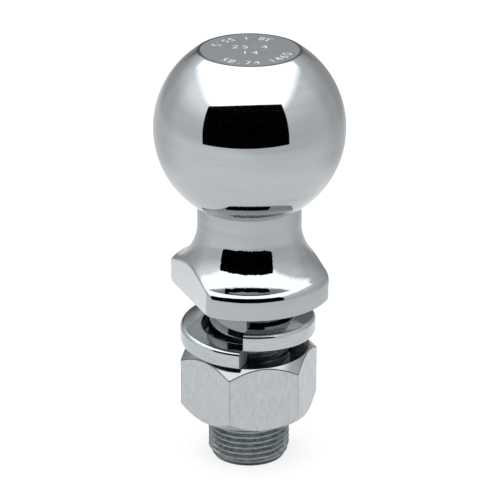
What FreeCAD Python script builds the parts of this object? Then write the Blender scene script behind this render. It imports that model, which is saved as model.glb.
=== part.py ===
"""Threaded tow ball with its split lock washer and hex nut.

Sizes are in millimetres. The origin is the centre of the seat, the underside of the flange that bears on the
drawbar. +Z runs up the ball's axis. A compass angle is measured from the front, -Y, and grows towards +X.
"""

import FreeCAD, Part
import math
import os

from FreeCAD import Vector

# Ball and the flat turned on its top
BALL_D = 58.74
BALL_HEIGHT = 53.3
TOP_FLAT_D = 31.6

# Neck under the ball
NECK_D = 32.2
NECK_BLEND_R = 16.3
BLEND_FOOT_R = 13.5
BLEND_FOOT_ANGLE = 37.9

# Flange: a plain band under a rounded shoulder that runs straight into the neck's blend, with two flats for a spanner
FLANGE_D = 51.5
BAND_HEIGHT = 5.65
SHOULDER_R = 3.0
SEAT_EDGE_R = 0.6
FLATS_WIDTH = 40.3
FLATS_ANGLE = -67.4

# Shank: a plain stretch under the seat, then the threaded stretch, drawn plain at the crest of its thread
SHANK_D = 25.4
SHANK_LENGTH = 55.5
PLAIN_LENGTH = 12.0
THREAD_RUNOUT = 1.2
THREAD_UNDERSIZE = 0.1
END_CHAMFER = 1.5
END_CHAMFER_LENGTH = 2.6

# Lock washer: a bar with broken edges bent into one left-hand turn, its ends cut at a slant
WASHER_PLAY = 1.25
WASHER_BAR_WIDTH = 7.1
WASHER_BAR_HEIGHT = 5.9
WASHER_BAR_BREAK = 0.6
WASHER_RISE = 6.1
WASHER_SPLIT_ANGLE = 3.3
WASHER_CUT_SLANT = 15.0
WASHER_LOW_END_ANGLE = -4.7
WASHER_SHIFT = Vector(-0.38, 0.15, 0)
WASHER_REST_GAP = 0.2

# Nut: hexagon with both faces chamfered
NUT_DROP = 18.7
NUT_WIDTH = 38.1
NUT_HEIGHT = 21.3
NUT_CHAMFER_INSET = 0.3
NUT_CHAMFER_SLOPE = 46.0
NUT_CORNER_ANGLE = -16.2
NUT_THREAD_PLAY = 0.06
NUT_COUNTERSINK = 0.8

FULL_TURN = 360.0
HEXAGON_SIDES = 6
UP = Vector(0, 0, 1)
CENTRE = Vector(0, 0, 0)

THREAD_R = (SHANK_D - THREAD_UNDERSIZE) / 2


def profile_point(radius, height):
    """Point of a turned profile, drawn in the plane that holds the axis and +X."""
    return Vector(radius, 0, height)


def arc(centre, radius, start, middle, end):
    """Arc of a turned profile through three directions, in degrees from the outward side."""
    points = []
    for angle in (start, middle, end):
        turn = math.radians(angle)
        points.append(centre + Vector(radius * math.cos(turn), 0, radius * math.sin(turn)))
    return Part.Arc(*points).toShape()


def line(start, end):
    """Straight run of a profile."""
    return Part.makeLine(start, end)


def end_point(edge):
    """Last point of an edge in the order in which it was drawn."""
    return edge.valueAt(edge.LastParameter)


def turned(edges):
    """Solid turned from a closed profile about the ball's axis."""
    return Part.Face(Part.Wire(edges)).revolve(CENTRE, UP, FULL_TURN)


def at_compass(shape, angle):
    """Turns a shape drawn on +X about the axis so that it stands at a compass angle."""
    shape.rotate(CENTRE, UP, angle - 90)
    return shape


def shank_profile():
    """Outline of the shank, from the middle of its end up to the seat."""
    shank_r = SHANK_D / 2
    corners = [
        profile_point(0, -SHANK_LENGTH),
        profile_point(THREAD_R - END_CHAMFER, -SHANK_LENGTH),
        profile_point(THREAD_R, -SHANK_LENGTH + END_CHAMFER_LENGTH),
        profile_point(THREAD_R, -PLAIN_LENGTH - THREAD_RUNOUT),
        profile_point(shank_r, -PLAIN_LENGTH),
        profile_point(shank_r, 0),
    ]
    return [line(a, b) for a, b in zip(corners, corners[1:])]


def flange_profile(seat_start):
    """Outline of the flange and the neck, from the seat up to the end of the blend into the neck.

    The blend has a foot of a lesser radius, and the shoulder meets that foot where both have the same slope.
    """
    flange_r = FLANGE_D / 2
    neck_r = NECK_D / 2
    shoulder_x = flange_r - SHOULDER_R
    change = math.radians(BLEND_FOOT_ANGLE)
    ease = NECK_BLEND_R - BLEND_FOOT_R
    foot_x = neck_r + NECK_BLEND_R - ease * math.cos(change)
    reach = SHOULDER_R + BLEND_FOOT_R
    meet = math.acos((foot_x - shoulder_x) / reach)
    foot_z = BAND_HEIGHT + reach * math.sin(meet)
    blend_z = foot_z + ease * math.sin(change)
    meet = math.degrees(meet)
    edge = arc(profile_point(flange_r - SEAT_EDGE_R, SEAT_EDGE_R), SEAT_EDGE_R, -90, -45, 0)
    shoulder = arc(profile_point(shoulder_x, BAND_HEIGHT), SHOULDER_R, 0, meet / 2, meet)
    foot_turn = 180 + BLEND_FOOT_ANGLE
    foot = arc(profile_point(foot_x, foot_z), BLEND_FOOT_R, 180 + meet, 180 + (meet + BLEND_FOOT_ANGLE) / 2, foot_turn)
    blend_centre = profile_point(neck_r + NECK_BLEND_R, blend_z)
    blend = arc(blend_centre, NECK_BLEND_R, foot_turn, 180 + BLEND_FOOT_ANGLE / 2, 180)
    return [
        line(seat_start, profile_point(flange_r - SEAT_EDGE_R, 0)),
        edge,
        line(profile_point(flange_r, SEAT_EDGE_R), profile_point(flange_r, BAND_HEIGHT)),
        shoulder,
        foot,
        blend,
    ]


def ball_profile(blend_end):
    """Outline of the neck's straight part, the ball and its top flat."""
    ball_r = BALL_D / 2
    neck_r = NECK_D / 2
    flat_r = TOP_FLAT_D / 2
    neck_angle = -math.degrees(math.acos(neck_r / ball_r))
    flat_angle = math.degrees(math.acos(flat_r / ball_r))
    ball = arc(profile_point(0, BALL_HEIGHT), ball_r, neck_angle, (neck_angle + flat_angle) / 2, flat_angle)
    neck_top = ball.valueAt(ball.FirstParameter)
    flat_edge = end_point(ball)
    return [
        line(blend_end, neck_top),
        ball,
        line(flat_edge, profile_point(0, flat_edge.z)),
    ]


def spanner_flats():
    """The two blocks that the spanner flats take off the flange."""
    depth = FLANGE_D
    block_height = BALL_HEIGHT - BALL_D / 2
    blocks = []
    for side in (1, -1):
        near = FLATS_WIDTH / 2 if side > 0 else -FLATS_WIDTH / 2 - depth
        block = Part.makeBox(depth, 2 * depth, block_height + SHANK_LENGTH, Vector(near, -depth, -SHANK_LENGTH))
        blocks.append(at_compass(block, FLATS_ANGLE))
    return blocks


def make_tow_ball():
    """One forging: ball, neck, flange and shank, with flats cut on the flange."""
    shank = shank_profile()
    flange = flange_profile(end_point(shank[-1]))
    ball = ball_profile(end_point(flange[-1]))
    outline = shank + flange + ball
    closing = line(end_point(ball[-1]), profile_point(0, -SHANK_LENGTH))
    return turned(outline + [closing]).cut(spanner_flats())


def bar_section(inner, outer, height, edge_break):
    """Section of the washer's bar: a rectangle with broken edges, its lower side on the plane of the seat."""
    near, far = inner + edge_break, outer - edge_break
    low, high = edge_break, height - edge_break
    corners = [
        profile_point(near, 0),
        profile_point(far, 0),
        profile_point(outer, low),
        profile_point(outer, high),
        profile_point(far, height),
        profile_point(near, height),
        profile_point(inner, high),
        profile_point(inner, low),
    ]
    return Part.makePolygon(corners + corners[:1])


def slanted_reach(radius, path_r, slant):
    """Distance from the path to a radius, measured along a line that leans from the radial line by the slant."""
    return math.sqrt(radius**2 - (path_r * math.sin(slant)) ** 2) - path_r * math.cos(slant)


def make_lock_washer():
    """Split washer: the bar follows one turn of a helix, and its low end rests on the nut."""
    inner_r = SHANK_D / 2 + WASHER_PLAY
    outer_r = inner_r + WASHER_BAR_WIDTH
    path_r = (inner_r + outer_r) / 2
    slant = math.radians(WASHER_CUT_SLANT)
    inner = path_r + slanted_reach(inner_r, path_r, slant)
    outer = path_r + slanted_reach(outer_r, path_r, slant)
    section = bar_section(inner, outer, WASHER_BAR_HEIGHT, WASHER_BAR_BREAK)
    section.rotate(profile_point(path_r, 0), UP, WASHER_CUT_SLANT)
    turn = (FULL_TURN - WASHER_SPLIT_ANGLE) / FULL_TURN
    path = Part.makeHelix(WASHER_RISE, WASHER_RISE * turn, path_r)
    sweep = Part.BRepOffsetAPI.MakePipeShell(Part.Wire(path.Edges))
    sweep.setBiNormalMode(UP)
    sweep.add(section)
    sweep.build()
    sweep.makeSolid()
    washer = sweep.shape().mirror(CENTRE, Vector(0, 1, 0))
    washer = at_compass(washer, WASHER_LOW_END_ANGLE)
    washer.translate(WASHER_SHIFT + Vector(0, 0, WASHER_REST_GAP - NUT_DROP))
    return washer


def make_hex_nut():
    """Hexagon nut, chamfered on both faces, with a countersunk bore that clears the crest of the thread."""
    flat_r = NUT_WIDTH / 2
    corner_r = flat_r / math.cos(math.pi / HEXAGON_SIDES)
    face_r = flat_r - NUT_CHAMFER_INSET
    drop = (corner_r - face_r) * math.tan(math.radians(NUT_CHAMFER_SLOPE))
    bore_r = THREAD_R + NUT_THREAD_PLAY
    mouth_r = bore_r + NUT_COUNTERSINK
    blank = [
        profile_point(bore_r, NUT_COUNTERSINK),
        profile_point(mouth_r, 0),
        profile_point(face_r, 0),
        profile_point(corner_r, drop),
        profile_point(corner_r, NUT_HEIGHT - drop),
        profile_point(face_r, NUT_HEIGHT),
        profile_point(mouth_r, NUT_HEIGHT),
        profile_point(bore_r, NUT_HEIGHT - NUT_COUNTERSINK),
    ]
    sides = zip(blank, blank[1:] + blank[:1])
    turned_blank = turned([line(a, b) for a, b in sides])
    corner = Vector(corner_r, 0, 0)
    corners = []
    for step in range(HEXAGON_SIDES + 1):
        turn = FreeCAD.Rotation(UP, step * FULL_TURN / HEXAGON_SIDES)
        corners.append(turn.multVec(corner))
    hexagon = Part.Face(Part.makePolygon(corners)).extrude(UP * NUT_HEIGHT)
    nut = at_compass(hexagon.common(turned_blank), NUT_CORNER_ANGLE)
    nut.translate(UP * -(NUT_DROP + NUT_HEIGHT))
    return nut


def main():
    """Writes one file for each separate piece."""
    os.makedirs("parts", exist_ok=True)
    pieces = {
        "tow_ball": make_tow_ball(),
        "lock_washer": make_lock_washer(),
        "hex_nut": make_hex_nut(),
    }
    for name, shape in pieces.items():
        solid = shape.Solids[0]
        print(name, "valid", solid.isValid(), "solids", len(shape.Solids), "volume", round(solid.Volume, 1))
        solid.exportStep(f"parts/{name}.step")


main()
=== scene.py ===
"""Looks and setting of the threaded tow ball.

Sizes are in millimetres and turned to metres as each mesh is made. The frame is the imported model's own: the
origin is the centre of the flange's seat, +Z runs up the ball's axis, and a compass angle is measured from
the front, -Y, towards +X.
"""

import logging
import math
from dataclasses import dataclass
from enum import Enum, IntEnum

import bmesh
import bpy
from mathutils import Matrix, Vector


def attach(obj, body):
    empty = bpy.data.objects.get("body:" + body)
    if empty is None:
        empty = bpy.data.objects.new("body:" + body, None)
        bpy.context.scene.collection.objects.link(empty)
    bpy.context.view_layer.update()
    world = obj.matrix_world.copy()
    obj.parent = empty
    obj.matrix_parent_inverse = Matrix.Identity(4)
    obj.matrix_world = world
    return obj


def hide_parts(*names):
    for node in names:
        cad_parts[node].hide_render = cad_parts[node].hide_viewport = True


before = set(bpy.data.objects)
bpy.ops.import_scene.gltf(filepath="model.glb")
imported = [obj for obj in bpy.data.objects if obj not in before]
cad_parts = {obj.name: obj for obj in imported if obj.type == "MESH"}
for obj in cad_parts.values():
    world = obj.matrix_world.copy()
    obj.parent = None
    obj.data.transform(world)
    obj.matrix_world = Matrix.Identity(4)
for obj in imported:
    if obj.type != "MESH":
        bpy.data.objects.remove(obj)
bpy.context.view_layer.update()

MM = 0.001
SAME_PLACE_MM = 1e-6
SAME_PLACE_M = 1e-7
LOG = logging.getLogger("tow_ball")

Point = tuple[float, float, float]
Spot = tuple[float, float]
Profile = list[Spot]
Faces = list[tuple[int, ...]]


class Hand(Enum):
    """Which way a helix climbs, as the factor on its angle."""

    RIGHT = 1
    LEFT = -1


class Side(Enum):
    """The side of a wall on which a thread stands, as the sign of its height."""

    OUTWARD = 1
    INWARD = -1


class BallSlot(IntEnum):
    """Material slots of the forging."""

    BALL = 0
    TOP_FLAT = 1
    STAMPED = 2
    THREAD = 3
    FLANGE = 4
    SPANNER_FLAT = 5
    SHANK = 6
    SAWN = 7


class WasherSlot(IntEnum):
    """Material slots of the lock washer."""

    PLATE = 0
    BORE = 1
    END = 2


class NutSlot(IntEnum):
    """Material slots of the nut."""

    SIDE = 0
    TURNED = 1
    CHAMFER_LINE = 2
    CORNER = 3


# Small tools


def linear(code: str) -> tuple[float, float, float, float]:
    """Turns an sRGB hex value to a linear colour.

    Args:
        code: six hex digits.

    Returns:
        Linear red, green, blue and an alpha of 1.
    """
    channels = []
    for start in (0, 2, 4):
        value = int(code[start : start + 2], 16) / 255
        channels.append(value / 12.92 if value <= 0.04045 else ((value + 0.055) / 1.055) ** 2.4)
    return channels[0], channels[1], channels[2], 1.0


def add_node(
    tree: bpy.types.NodeTree, kind: str, inputs: dict | None = None, **settings: object
) -> bpy.types.Node:
    """Adds a node with its settings and links.

    Args:
        tree: the node tree that gets the node.
        kind: the node's type.
        inputs: for an input's name or place, its value, or the output that feeds it. A node stands for the
            first of its outputs that is in use.
        settings: the node's own options.

    Returns:
        The new node.
    """
    node = tree.nodes.new(kind)
    for name, value in settings.items():
        setattr(node, name, value)
    for key, value in (inputs or {}).items():
        if isinstance(value, bpy.types.Node):
            value = next(output for output in value.outputs if output.enabled)
        if isinstance(value, bpy.types.NodeSocket):
            tree.links.new(value, node.inputs[key])
        else:
            node.inputs[key].default_value = value
    return node


def new_material(name: str) -> bpy.types.Material:
    """Makes an empty node material.

    Args:
        name: its name.

    Returns:
        The material, with no nodes in its tree.
    """
    material = bpy.data.materials.new(name)
    material.use_nodes = True
    material.node_tree.nodes.clear()
    return material


def patchy_roughness(tree: bpy.types.NodeTree, patch_mm: float, mean: float, spread: float) -> bpy.types.Node:
    """Adds a roughness that drifts from patch to patch.

    Args:
        tree: the material's node tree.
        patch_mm: size of a patch.
        mean: roughness in the middle of its range.
        spread: how far it drifts either way.

    Returns:
        The node that gives the roughness.
    """
    where = add_node(tree, "ShaderNodeTexCoord").outputs["Object"]
    noise = {"Vector": where, "Scale": 1 / (patch_mm * MM), "Detail": 3.0}
    patch = {"Value": add_node(tree, "ShaderNodeTexNoise", noise), "From Min": 0.3, "From Max": 0.7}
    return add_node(tree, "ShaderNodeMapRange", {**patch, "To Min": mean - spread, "To Max": mean + spread})


def finish_metal(
    tree: bpy.types.NodeTree, colour: object, rough: bpy.types.Node, relief: bpy.types.Node, relief_mm: float
) -> None:
    """Adds a metal's shader with its relief, and the material's output.

    Args:
        tree: the material's node tree.
        colour: its linear colour, or the node that gives it.
        rough: the node that gives its roughness.
        relief: the node that gives the height of its marks.
        relief_mm: how high the marks stand.
    """
    bump = add_node(tree, "ShaderNodeBump", {"Height": relief, "Strength": 1.0, "Distance": relief_mm * MM})
    looks = {"Base Color": colour, "Metallic": 1.0, "Roughness": rough, "Normal": bump}
    shader = add_node(tree, "ShaderNodeBsdfPrincipled", looks)
    add_node(tree, "ShaderNodeOutputMaterial", {"Surface": shader})


def smooth_min(a: float, b: float, width: float) -> float:
    """Lesser of two lengths, rounded over where they are within a width of each other."""
    near = max(width - abs(a - b), 0.0) / width
    return min(a, b) - near * near * width / 4


def arc(centre: Spot, radius: float, start: float, end: float, steps: int) -> Profile:
    """Points of an arc in the plane of radius and height.

    Args:
        centre: its radius and height.
        radius: the arc's radius.
        start: first direction, in degrees from outward.
        end: last direction.
        steps: number of runs.

    Returns:
        The points, both ends included.
    """
    points = []
    for step in range(steps + 1):
        turn = math.radians(start + (end - start) * step / steps)
        points.append((centre[0] + radius * math.cos(turn), centre[1] + radius * math.sin(turn)))
    return points


def run(start: Spot, end: Spot, steps: int) -> Profile:
    """Evenly spaced points of a straight run.

    Args:
        start: its first point.
        end: its last point.
        steps: number of parts that it is divided into.

    Returns:
        The points, both ends included.
    """
    points = []
    for i in range(steps + 1):
        radius, height = (a + (b - a) * i / steps for a, b in zip(start, end))
        points.append((radius, height))
    return points


def joined(*parts: Profile) -> Profile:
    """One profile from several.

    Args:
        parts: profiles in the order in which they follow each other.

    Returns:
        Their points, without the ones that neighbours share.
    """
    points = list(parts[0])
    for part in parts[1:]:
        points += part[1:] if math.dist(points[-1], part[0]) < SAME_PLACE_MM else part
    return points


def place(angle: float, radius: float, height: float) -> Point:
    """Point at a compass angle in degrees, from millimetres to metres."""
    turn = math.radians(angle)
    return radius * math.sin(turn) * MM, -radius * math.cos(turn) * MM, height * MM


def ring(radius: float, height: float, count: int) -> list[Point]:
    """Evenly spaced points of a level circle round the axis, in the units of its radius."""
    turns = [2 * math.pi * i / count for i in range(count)]
    return [(radius * math.sin(turn), -radius * math.cos(turn), height) for turn in turns]


def tidy_mesh(mesh: bpy.types.Mesh, sharp: float) -> None:
    """Merges doubles, turns the faces outwards and smooths all but the sharp edges.

    Args:
        mesh: the mesh, changed in place.
        sharp: angle in degrees past which an edge stays sharp.
    """
    work = bmesh.new()
    work.from_mesh(mesh)
    bmesh.ops.remove_doubles(work, verts=work.verts, dist=SAME_PLACE_M)
    bmesh.ops.dissolve_degenerate(work, edges=work.edges, dist=SAME_PLACE_M)
    bmesh.ops.recalc_face_normals(work, faces=work.faces)
    work.to_mesh(mesh)
    work.free()
    mesh.shade_smooth()
    mesh.set_sharp_from_angle(angle=math.radians(sharp))


def new_mesh(name: str, points: list[Point], faces: Faces) -> bpy.types.Mesh:
    """Makes a mesh as it is given, without merging or smoothing.

    Args:
        name: the mesh's name.
        points: its points in metres.
        faces: its faces.

    Returns:
        The mesh.
    """
    mesh = bpy.data.meshes.new(name)
    mesh.from_pydata(points, [], faces)
    return mesh


def in_scene(name: str, data: bpy.types.Mesh | bpy.types.Curve | bpy.types.Camera) -> bpy.types.Object:
    """Puts a mesh, a text or a camera in the scene.

    Args:
        name: the new object's name.
        data: what the object shows or is.

    Returns:
        The object, at the origin.
    """
    piece = bpy.data.objects.new(name, data)
    bpy.context.scene.collection.objects.link(piece)
    return piece


def plain_mesh(shape: bpy.types.Object) -> bpy.types.Mesh:
    """Turns an object with modifiers or a text into a plain mesh, and removes it.

    Args:
        shape: the object.

    Returns:
        The mesh that it makes.
    """
    graph = bpy.context.evaluated_depsgraph_get()
    mesh = bpy.data.meshes.new_from_object(shape.evaluated_get(graph))
    shape.modifiers.clear()
    bpy.data.objects.remove(shape)
    return mesh


def grid_faces(rows: int, columns: int) -> Faces:
    """Four-sided faces between rings of points, each ring closed on itself.

    Args:
        rows: number of rings.
        columns: number of points in a ring.

    Returns:
        The faces, ring after ring.
    """
    faces = []
    for row in range(rows - 1):
        for column in range(columns):
            after = (column + 1) % columns
            low, high = row * columns, (row + 1) * columns
            faces.append((low + column, low + after, high + after, high + column))
    return faces


def sheet_faces(rows: int, columns: int) -> Faces:
    """Four-sided faces of an open sheet.

    Args:
        rows: number of faces up the sheet.
        columns: number of faces across it, one fewer than its points.

    Returns:
        The faces, row after row.
    """
    faces = []
    for row in range(rows):
        for column in range(columns):
            a = row * (columns + 1) + column
            faces.append((a, a + 1, a + columns + 2, a + columns + 1))
    return faces


def triangles(piece: bpy.types.Object) -> int:
    """Number of triangles in a piece."""
    return sum(len(face.vertices) - 2 for face in piece.data.polygons)


# Finishes


@dataclass(frozen=True)
class ChromiumPlate:
    """Decorative chromium plate on a polished forging: a mirror with long waves and faint polishing lines."""

    name: str = "chromium_plate"
    colour: str = "B6BBBE"
    hazy_colour: str = "B0B5B8"
    mirror: float = 0.03
    haze: float = 0.055
    wave_mm: float = 11.0
    wave_height_mm: float = 0.006
    # A polishing line is a few hundredths of a millimetre wide, too fine to show, so it is drawn wider.
    line_mm: float = 1.5
    line_run_mm: float = 30.0

    def material(self) -> bpy.types.Material:
        """Builds the finish.

        Returns:
            Its node material.
        """
        material = new_material(self.name)
        tree = material.node_tree
        where = add_node(tree, "ShaderNodeTexCoord").outputs["Object"]
        swell = {"Vector": where, "Scale": 1 / (self.wave_mm * MM), "Detail": 1.0}
        wave = add_node(tree, "ShaderNodeTexNoise", swell)
        across, along = 1 / (self.line_mm * MM), 1 / (self.line_run_mm * MM)
        lines = add_node(tree, "ShaderNodeMapping", {"Vector": where, "Scale": (along, along, across)})
        streak = add_node(tree, "ShaderNodeTexNoise", {"Vector": lines, "Scale": 1.0, "Detail": 3.0})
        haze = {"Value": streak, "From Min": 0.35, "From Max": 0.75}
        rough = add_node(tree, "ShaderNodeMapRange", {**haze, "To Min": self.mirror, "To Max": self.haze})
        film = add_node(tree, "ShaderNodeMapRange", {"Value": streak, "From Min": 0.45, "From Max": 0.8})
        tones = {0: film, 6: linear(self.colour), 7: linear(self.hazy_colour)}
        colour = add_node(tree, "ShaderNodeMix", tones, data_type="RGBA")
        finish_metal(tree, colour, rough, wave, self.wave_height_mm)
        return material


@dataclass(frozen=True)
class TurnedFace:
    """Lathe-turned steel with a thin plate over it: concentric tool marks that widen each reflection."""

    name: str = "turned_face"
    colour: str = "A5AAAD"
    roughness: float = 0.38
    roughness_spread: float = 0.02
    patch_mm: float = 3.0
    # A finishing cut leaves a groove every 0.1 mm or so, too fine to show, so they are drawn further apart.
    groove_mm: float = 0.35
    groove_height_mm: float = 0.004

    def material(self) -> bpy.types.Material:
        """Builds the finish.

        Returns:
            Its node material.
        """
        material = new_material(self.name)
        tree = material.node_tree
        where = add_node(tree, "ShaderNodeTexCoord").outputs["Object"]
        flat = add_node(tree, "ShaderNodeVectorMath", {0: where, 1: (1.0, 1.0, 0.0)}, operation="MULTIPLY")
        radius = add_node(tree, "ShaderNodeVectorMath", {0: flat}, operation="LENGTH")
        grooves = {"W": radius, "Scale": 1 / (self.groove_mm * MM), "Detail": 2.0}
        rings = add_node(tree, "ShaderNodeTexNoise", grooves, noise_dimensions="1D")
        rough = patchy_roughness(tree, self.patch_mm, self.roughness, self.roughness_spread)
        finish_metal(tree, linear(self.colour), rough, rings, self.groove_height_mm)
        return material


@dataclass(frozen=True)
class GrainedMetal:
    """Plated steel with marks along one direction, as a drawn bar or a forged flat has them.

    Die and drawing marks are about 0.1 mm wide, too fine to show, so each finish has its marks drawn wider.
    """

    name: str
    colour: str
    dark_colour: str
    roughness: float
    roughness_spread: float
    mark_mm: float
    mark_run_mm: float
    mark_height_mm: float
    patch_mm: float = 4.0
    on_uv: bool = False
    painted_shade_from_mm: float = -1000.0
    painted_shade_run_mm: float = 1.7
    painted_shade_share: float = 0.12

    def material(self) -> bpy.types.Material:
        """Builds the finish, with painted shade that darkens it below a height where the finish has one.

        Returns:
            Its node material.
        """
        material = new_material(self.name)
        tree = material.node_tree
        source = add_node(tree, "ShaderNodeTexCoord").outputs
        across, along = 1 / (self.mark_mm * MM), 1 / (self.mark_run_mm * MM)
        where = source["UV"] if self.on_uv else source["Object"]
        scale = (along, across, across) if self.on_uv else (across, across, along)
        stretched = add_node(tree, "ShaderNodeMapping", {"Vector": where, "Scale": scale})
        marks = add_node(tree, "ShaderNodeTexNoise", {"Vector": stretched, "Scale": 1.0, "Detail": 4.0})
        tone = add_node(tree, "ShaderNodeMapRange", {"Value": marks, "From Min": 0.3, "From Max": 0.62})
        tones = {0: tone, 6: linear(self.dark_colour), 7: linear(self.colour)}
        grain = add_node(tree, "ShaderNodeMix", tones, data_type="RGBA")
        # Painted shade: below a given height the colour fades darker, standing in for the shade at the
        # piece's foot.
        height = add_node(tree, "ShaderNodeSeparateXYZ", {0: source["Object"]}).outputs["Z"]
        start, end = (self.painted_shade_from_mm - self.painted_shade_run_mm) * MM, self.painted_shade_from_mm * MM
        fall = {"Value": height, "From Min": start, "From Max": end, "To Min": self.painted_shade_share}
        foot = add_node(tree, "ShaderNodeMapRange", fall)
        whole = {0: 1.0, 6: grain, 7: foot}
        colour = add_node(tree, "ShaderNodeMix", whole, data_type="RGBA", blend_type="MULTIPLY")
        rough = patchy_roughness(tree, self.patch_mm, self.roughness, self.roughness_spread)
        finish_metal(tree, colour, rough, marks, self.mark_height_mm)
        return material


Finish = ChromiumPlate | TurnedFace | GrainedMetal


def give_finishes(piece: bpy.types.Object, finishes: tuple[Finish, ...]) -> None:
    """Adds finishes to a piece, one material slot for each, in order."""
    for finish in finishes:
        piece.data.materials.append(finish.material())


# The same plate on the flange and the neck, less finely polished: shorter waves, so reflections break up.
FLANGE_PLATE = ChromiumPlate(
    name="chromium_plate_on_flange",
    colour="B0B5B8",
    hazy_colour="A8ADB0",
    mirror=0.02,
    haze=0.06,
    wave_mm=1.8,
    wave_height_mm=0.03,
)

# The plain stretch of the shank: thin plate straight over the turned steel, so darker than the flange.
SHANK_PLATE = ChromiumPlate(
    name="thin_plate_on_shank", colour="8C9194", hazy_colour="84898C", mirror=0.06, haze=0.1, wave_mm=3.0
)

# The sawn end of the shank: matt, and painted darker than the thread's crests as the shade where the shank
# stands on the floor.
SAWN_END_PAINTED_SHADE = TurnedFace(name="sawn_end_painted_shade", colour="4A5053", roughness=0.45, groove_mm=0.5)

# Milled spanner flat under the plate: brighter than the turned surface, with fine straight cutter marks.
MILLED_FLAT = GrainedMetal(
    name="milled_flat_plated",
    colour="DADEE0",
    dark_colour="D0D4D6",
    roughness=0.3,
    roughness_spread=0.04,
    mark_mm=0.35,
    mark_run_mm=3.0,
    mark_height_mm=0.0008,
)

# Bright zinc plate on the rolled bar of the lock washer: clear reflections, drawn out along the bar.
WASHER_PLATE = GrainedMetal(
    name="bright_plate_on_bar",
    colour="BFC4C7",
    dark_colour="ADB3B6",
    roughness=0.11,
    roughness_spread=0.04,
    mark_mm=0.4,
    mark_run_mm=5.0,
    mark_height_mm=0.003,
    on_uv=True,
)

# Inner wall and underside of the bar: dull plate, painted near-black as the shade in the gap round the shank
# and under the bar.
WASHER_INSIDE_SHADE = GrainedMetal(
    name="painted_shade_inside_bar",
    colour="1F2122",
    dark_colour="141516",
    roughness=0.42,
    roughness_spread=0.06,
    mark_mm=0.5,
    mark_run_mm=4.0,
    mark_height_mm=0.006,
    on_uv=True,
)

# The sheared ends of the bar: torn steel under the plate, which scatters the light that reaches it.
SHEARED_END = GrainedMetal(
    name="sheared_end_of_bar",
    colour="9CA1A4",
    dark_colour="666B6E",
    roughness=0.6,
    roughness_spread=0.08,
    mark_mm=0.5,
    mark_run_mm=1.6,
    mark_height_mm=0.02,
)

# Plated forging scale on the nut's sides: a satin surface with fine upright marks from the die.
NUT_SIDES = GrainedMetal(
    name="satin_plate_on_forging",
    colour="C0C5C8",
    dark_colour="B2B7BA",
    roughness=0.34,
    roughness_spread=0.08,
    mark_mm=0.5,
    mark_run_mm=2.2,
    mark_height_mm=0.005,
)

# The nut's faces, chamfers and bore, turned and thinly plated: clearer than its sides, and patchy.
TURNED_NUT_FACE = TurnedFace(
    name="turned_nut_face", colour="979C9F", roughness=0.15, roughness_spread=0.06, groove_height_mm=0.003
)

# The upright corners of the nut: a faint darker line.
DARKER_CORNER = GrainedMetal(
    name="darker_nut_corner",
    colour="ADB2B5",
    dark_colour="9BA0A3",
    roughness=0.36,
    roughness_spread=0.06,
    mark_mm=0.3,
    mark_run_mm=2.0,
    mark_height_mm=0.0035,
)

# The line where the nut's chamfer meets its sides: a thin dark line of painted shade along that edge.
SHADE_LINE_ON_EDGE = GrainedMetal(
    name="painted_shade_on_turned_edge",
    colour="64696C",
    dark_colour="404547",
    roughness=0.45,
    roughness_spread=0.05,
    mark_mm=0.4,
    mark_run_mm=0.4,
    mark_height_mm=0.004,
)

# Bare rolled thread with a thin dark oxide: dull and darker than the plate above it. Towards the cut end its
# colour is darkened further, as painted shade where the shank stands on the floor.
THREAD_OXIDE_AND_SHADE = GrainedMetal(
    name="bare_rolled_thread",
    colour="A0A6A9",
    dark_colour="7C8285",
    roughness=0.28,
    roughness_spread=0.06,
    mark_mm=1.6,
    mark_run_mm=1.2,
    mark_height_mm=0.003,
    painted_shade_from_mm=-52.7,
    painted_shade_run_mm=2.1,
)

# The walls and floors of the stamped numbers: rough steel, so it catches the light from above.
STAMPED_STEEL = TurnedFace(
    name="stamped_steel", colour="E6E9EA", roughness=0.5, groove_mm=0.6, groove_height_mm=0.01
)


# Thread


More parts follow.
